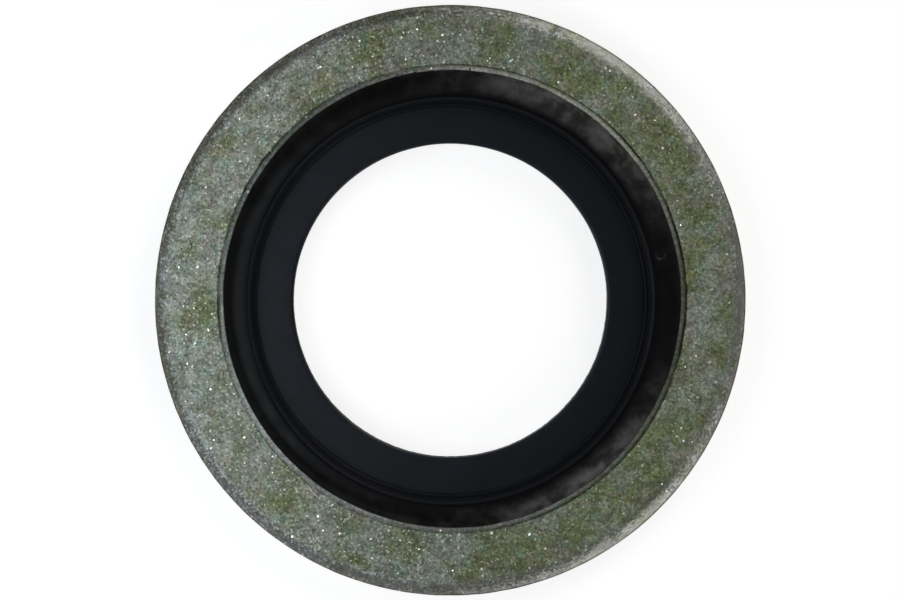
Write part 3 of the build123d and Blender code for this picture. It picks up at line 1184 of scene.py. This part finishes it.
RUBBER_BLACK = colour("#050505")
MEMBRANE_BLACK = colour("#060f18")
WALL_PAINTED_SHEEN_GREY = colour("#181a1e")
BLOOM_AND_PAINTED_LIGHT_GREY = colour("#1b1c20")
CAST_PATCH_MM = 1.3
BLOOM_PATCH_MM = 0.8
ON_MEMBRANE = (crest_inner_mm - 0.05, crest_inner_mm + 0.05, 1.0, 0.0)
CAST_SHARE = (0.25, 0.6, 0.55, 1.0)
PAINTED_WALL_SHEEN_BAND = ((wall_foot + crest_inner) / 2 / MM, 0.1, 0.2)
ON_FLANK = (crest_outer_mm, crest_outer_mm + 0.3)
BLOOM_CLOUDS = (0.32, 0.72)
BLOOM_ASIDE = (1.5, 5.0, 0.1, 1.0)
BLOOM_OUTWARDS = (crest_outer_mm + 0.3, bond_radius / MM, 0.95, 1.5)
BLOOM_FADED_LEFT = (-3.0, 4.5, 0.2, 1.0)
BLOOM_COVER = 0.25

on_membrane = add_node(rubber, *SMOOTH_STEP, (rubber_radius, *ON_MEMBRANE))
cast_patches = add_node(
    rubber, "ShaderNodeTexNoise",
    inputs={"Vector": rubber_mm, "Scale": 1 / CAST_PATCH_MM, "Detail": 4.0, "Roughness": 0.6},
)
bloom_clouds = add_node(
    rubber, "ShaderNodeTexNoise",
    inputs={"Vector": rubber_mm, "Scale": 1 / BLOOM_PATCH_MM, "Detail": 4.0, "Roughness": 0.55,
            "Distortion": 0.2},
)
# The bloom's grey is partly painted light: it is kept to where the lamps light the flank
bloom_and_painted_light = faded(rubber, add_node(rubber, *SMOOTH_STEP, (rubber_radius, *ON_FLANK)), [
    (bloom_clouds, BLOOM_CLOUDS),
    (aside, BLOOM_ASIDE),
    (rubber_radius, BLOOM_OUTWARDS),
    (rubber_x, BLOOM_FADED_LEFT),
])
print(f"bluish inside {crest_inner_mm:.2f} mm, bloom outside {crest_outer_mm:.2f} mm")

# %% Rubber: dust, and one curved scuff on the flank
# Pitch in mm, share of cells that have one, its full and its whole size in pitches, and the weakest one
DUST = (0.9, 0.3, 0.0, 0.05, 0.2)
DUST_COLOUR = colour("#6c7072")
RUBBER_SCUFF_PLACE = (7.77, 1.72, 2.12)
RUBBER_SCUFF_MM = 0.22
SCUFF_ARC = (0.17, 0.005, 0.05)
SCUFF_SWIRL = (0.4, 0.6)
SCUFF_NEAR_HALF = (RUBBER_SCUFF_PLACE[1] - 0.1, RUBBER_SCUFF_PLACE[1] + 0.1, 0.4, 0.0)

dust = scattered_dots(rubber, rubber_mm, *DUST)[0]
scuff_distance = add_node(
    rubber, "ShaderNodeVectorMath", {"operation": "DISTANCE"}, (rubber_mm, RUBBER_SCUFF_PLACE),
).outputs["Value"]
scuff_swirl = add_node(
    rubber, "ShaderNodeTexNoise",
    inputs={"Vector": rubber_mm, "Scale": 1 / RUBBER_SCUFF_MM, "Detail": 2.0, "Distortion": 2.5},
)
rubber_scuff = faded(
    rubber, band(rubber, scuff_distance, *SCUFF_ARC),
    [(scuff_swirl, SCUFF_SWIRL), (rubber_y, SCUFF_NEAR_HALF)],
)

skin = RUBBER_BLACK
for share, finish in (
    (faded(rubber, on_membrane, [(cast_patches, CAST_SHARE)]), MEMBRANE_BLACK),
    # Painted sheen: the inner wall is painted greyer
    (band(rubber, rubber_radius, *PAINTED_WALL_SHEEN_BAND), WALL_PAINTED_SHEEN_GREY),
    (add_node(rubber, *MULTIPLY, (bloom_and_painted_light, BLOOM_COVER)), BLOOM_AND_PAINTED_LIGHT_GREY),
    (dust, DUST_COLOUR),
    (rubber_scuff, DUST_COLOUR),
):
    skin = add_node(rubber, *MIX_COLOURS, {0: share, 6: skin, 7: finish})
print("at most one speck of dust every", DUST[0], "mm")

# %% Rubber: how much it shines
SATIN = 0.42
BLOOM_ROUGHNESS = 0.45
SHEEN_LEVEL = 0.15
MEMBRANE_SHEEN_LEVEL = 0.36
WALL_SHEEN_LEVEL = 0.22
BLOOM_SHEEN_LEVEL = 0.75
WALL_FOOT_STEP = (wall_foot_mm - 0.12, wall_foot_mm, MEMBRANE_SHEEN_LEVEL, WALL_SHEEN_LEVEL)
# No polish reaches into the mould's corners, so the rubber's edges came out dull
EDGE_SHEEN_SHARE = 0.5
CREST_EDGE_BAND = (crest_inner_mm + 0.06, 0.04, 0.1)
CREST_EDGE_ASIDE = (1.5, 4.0, 0.4, 1.0)
WALL_FOOT_BAND = (wall_foot_mm - 0.04, 0.05, 0.12)
DULL_EDGE_SHEEN = (0.0, 1.0, 1.0, EDGE_SHEEN_SHARE)

rubber_roughness = add_node(rubber, *MIX_NUMBERS, {0: bloom_and_painted_light, 2: SATIN, 3: BLOOM_ROUGHNESS})
inside_sheen = add_node(rubber, *SMOOTH_STEP, (rubber_radius, *WALL_FOOT_STEP))
rubber_sheen = SHEEN_LEVEL
for zone, sheen in ((on_membrane, inside_sheen), (bloom_and_painted_light, BLOOM_SHEEN_LEVEL)):
    rubber_sheen = add_node(rubber, *MIX_NUMBERS, {0: zone, 2: rubber_sheen, 3: sheen})

dull_crest = faded(rubber, band(rubber, rubber_radius, *CREST_EDGE_BAND), [(aside, CREST_EDGE_ASIDE)])
dull_foot = band(rubber, rubber_radius, *WALL_FOOT_BAND)
dull_edges = add_node(rubber, *GREATER_OF, (dull_crest, dull_foot))
rubber_sheen = faded(rubber, rubber_sheen, [(dull_edges, DULL_EDGE_SHEEN)])
print("sheen from", SHEEN_LEVEL, "on the crest to", BLOOM_SHEEN_LEVEL, "on the bloom")

# %% Rubber: relief of the mould's rings and of the skin's grain
# A lathe's rings and a skin's grain are a third as wide as these, which are as fine as can show
RING_PITCH_MM = 0.12
RING_RELIEF = 0.0012 * MM
SKIN_GRAIN_MM = 0.07
SKIN_RELIEF = 0.003 * MM

rings = add_node(
    rubber, "ShaderNodeTexNoise",
    {"noise_dimensions": "1D"}, {"W": rubber_radius, "Scale": 1 / RING_PITCH_MM, "Detail": 3.0},
)
ring_bump = add_node(rubber, "ShaderNodeBump", inputs={"Height": rings, "Distance": RING_RELIEF})
skin_grain = add_node(
    rubber, "ShaderNodeTexNoise",
    inputs={"Vector": rubber_mm, "Scale": 1 / SKIN_GRAIN_MM, "Detail": 3.0, "Roughness": 0.65},
)
skin_bump = add_node(
    rubber, "ShaderNodeBump", inputs={"Height": skin_grain, "Distance": SKIN_RELIEF, "Normal": ring_bump},
)
rubber_shader = add_node(
    rubber, "ShaderNodeBsdfPrincipled",
    inputs={"Base Color": skin, "Roughness": rubber_roughness,
            "Specular IOR Level": rubber_sheen, "Normal": skin_bump},
)
add_node(rubber, "ShaderNodeOutputMaterial", inputs={"Surface": rubber_shader.outputs[0]})
moulded_seal.data.materials.append(nitrile_rubber)
print("nodes in rubber:", len(rubber.nodes))

# %% [markdown]
# ## Hand over to the frame
#
# Each new piece rides on the washer's one body and stands for its CAD node, which is hidden. The two
# could be joined into one mesh, but they keep their own finishes, so they stay apart.

# %% Smooth shading, then ride and replace
SMOOTH_ANGLE = math.radians(32)

for piece, node, slot in (
    (plated_ring, "steel_ring", "plated_steel"),
    (moulded_seal, "rubber_seal", "nitrile_rubber"),
):
    bpy.ops.object.select_all(action="DESELECT")
    piece.select_set(True)
    bpy.context.view_layer.objects.active = piece
    bpy.ops.object.shade_smooth_by_angle(angle=SMOOTH_ANGLE)
    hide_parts(node)
    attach(piece, "root")
    print(piece.name, "stands for", node)
